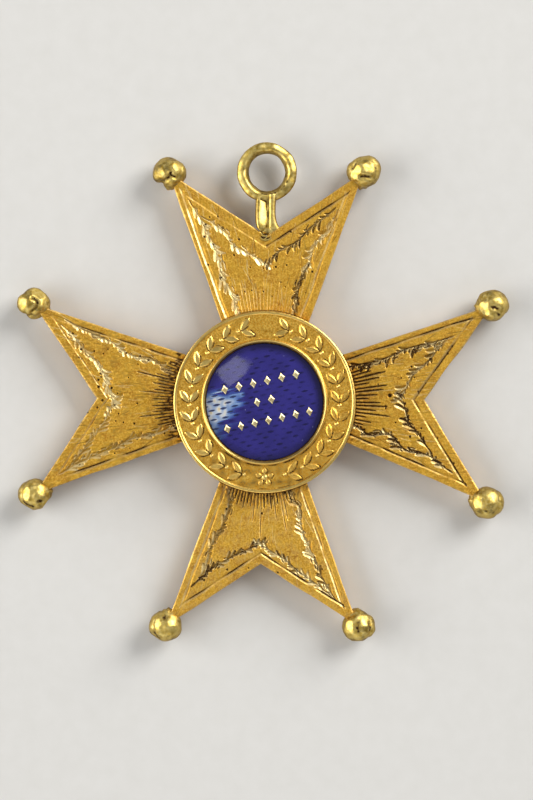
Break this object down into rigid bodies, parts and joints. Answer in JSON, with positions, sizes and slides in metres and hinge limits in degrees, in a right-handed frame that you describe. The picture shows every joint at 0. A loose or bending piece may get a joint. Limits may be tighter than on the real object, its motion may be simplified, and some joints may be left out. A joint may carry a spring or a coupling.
{
  "type": "order badge",
  "caption": "Gold order badge: a cross of forked arms with beads on the tips, a round blue enamel medallion in an ornamented frame, and a ring eye to hang it from a ribbon.",
  "frame": {"origin": "middle of the badge's box on the surface that it lies on, under the beads; the middle of the cross is 0.8 mm below it along Y, because the eye makes the badge longer upward", "axes": "+Z leaves the face of the badge, +Y runs along the upper arm to the suspension eye, +X runs along the right arm"},
  "size_m": [0.0424, 0.043, 0.0034],
  "materials": {
    "gold_cross": "fine matt gold, engraved",
    "gold_frame": "stippled gold with burnished rims",
    "gold_ground": "engine-turned gold",
    "blue_enamel": "translucent violet-blue glass enamel",
    "gilt": "bright gilding",
    "gold_polished": "polished gold"
  },
  "bodies": {
    "root": {"gold_cross": "gold_cross", "medallion_frame": "gold_frame", "ground_plate": "gold_ground", "enamel": "blue_enamel", "gilt_marks": "gilt", "rivet": "gold_polished"}
  },
  "joints": []
}
